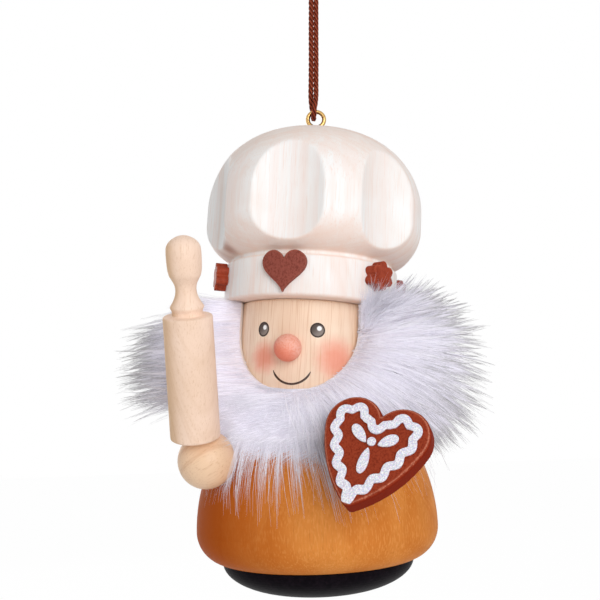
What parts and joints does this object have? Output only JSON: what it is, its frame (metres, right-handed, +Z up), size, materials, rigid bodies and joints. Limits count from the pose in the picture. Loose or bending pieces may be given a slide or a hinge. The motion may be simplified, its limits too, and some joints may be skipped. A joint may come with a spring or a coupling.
{
  "type": "hanging baker figure",
  "caption": "Turned wooden hanging figure of a baker with a fluted chef's hat, fur beard, rolling pin and iced gingerbread heart, swinging from a cord loop through a screw eye",
  "frame": {"origin": "the point at the top of the cord loop where it bears on its hook", "axes": "+Z up along the hanging cord; the wire at the top of the screw eye runs along X; -Y is the side the ring of the eye faces, and the figure's face is turned 16 degrees from -Y towards -X"},
  "size_m": [0.0665, 0.07, 0.1415],
  "materials": {
    "black_lacquer": "gloss lacquer",
    "orange_stain": "stained and clear-lacquered",
    "pale_wood": "matt",
    "bleached_wood": "satin",
    "pink_paint": "matt paint",
    "turned_beech": "satin",
    "dowel_wood": "bare",
    "gingerbread": "matt stain",
    "dark_gingerbread": "matt stain",
    "star_brown": "matt stain",
    "icing": "raised white paint with a little glitter",
    "brass": "bright",
    "hide": "matt",
    "fur": "long soft pile",
    "cord": "twisted"
  },
  "bodies": {
    "hanger": {"hanging_cord": "cord", "cord_knot": "cord"},
    "figure": {"foot": "black_lacquer", "body": "orange_stain", "head": "pale_wood", "nose": "pink_paint", "hat": "bleached_wood", "hat_heart": "dark_gingerbread", "hat_star_1": "star_brown", "hat_star_2": "star_brown", "hat_star_3": "star_brown", "hat_star_4": "star_brown", "hat_star_5": "star_brown", "screw_eye": "brass", "right_hand": "turned_beech", "left_hand": "turned_beech", "rolling_pin": "turned_beech", "gingerbread_heart": "gingerbread", "heart_icing": "icing", "fur_hide": "hide", "fur_pile": "fur", "foot_dowel": "dowel_wood", "neck_dowel": "dowel_wood", "hat_dowel": "dowel_wood", "right_hand_dowel": "dowel_wood", "left_hand_dowel": "dowel_wood"}
  },
  "joints": [
    {"name": "swing", "type": "hinge", "parent": "hanger", "child": "figure", "pos_m": [-0.0011, 0, -0.035], "axis": [1, 0, 0], "range_deg": [-90, 90]}
  ]
}
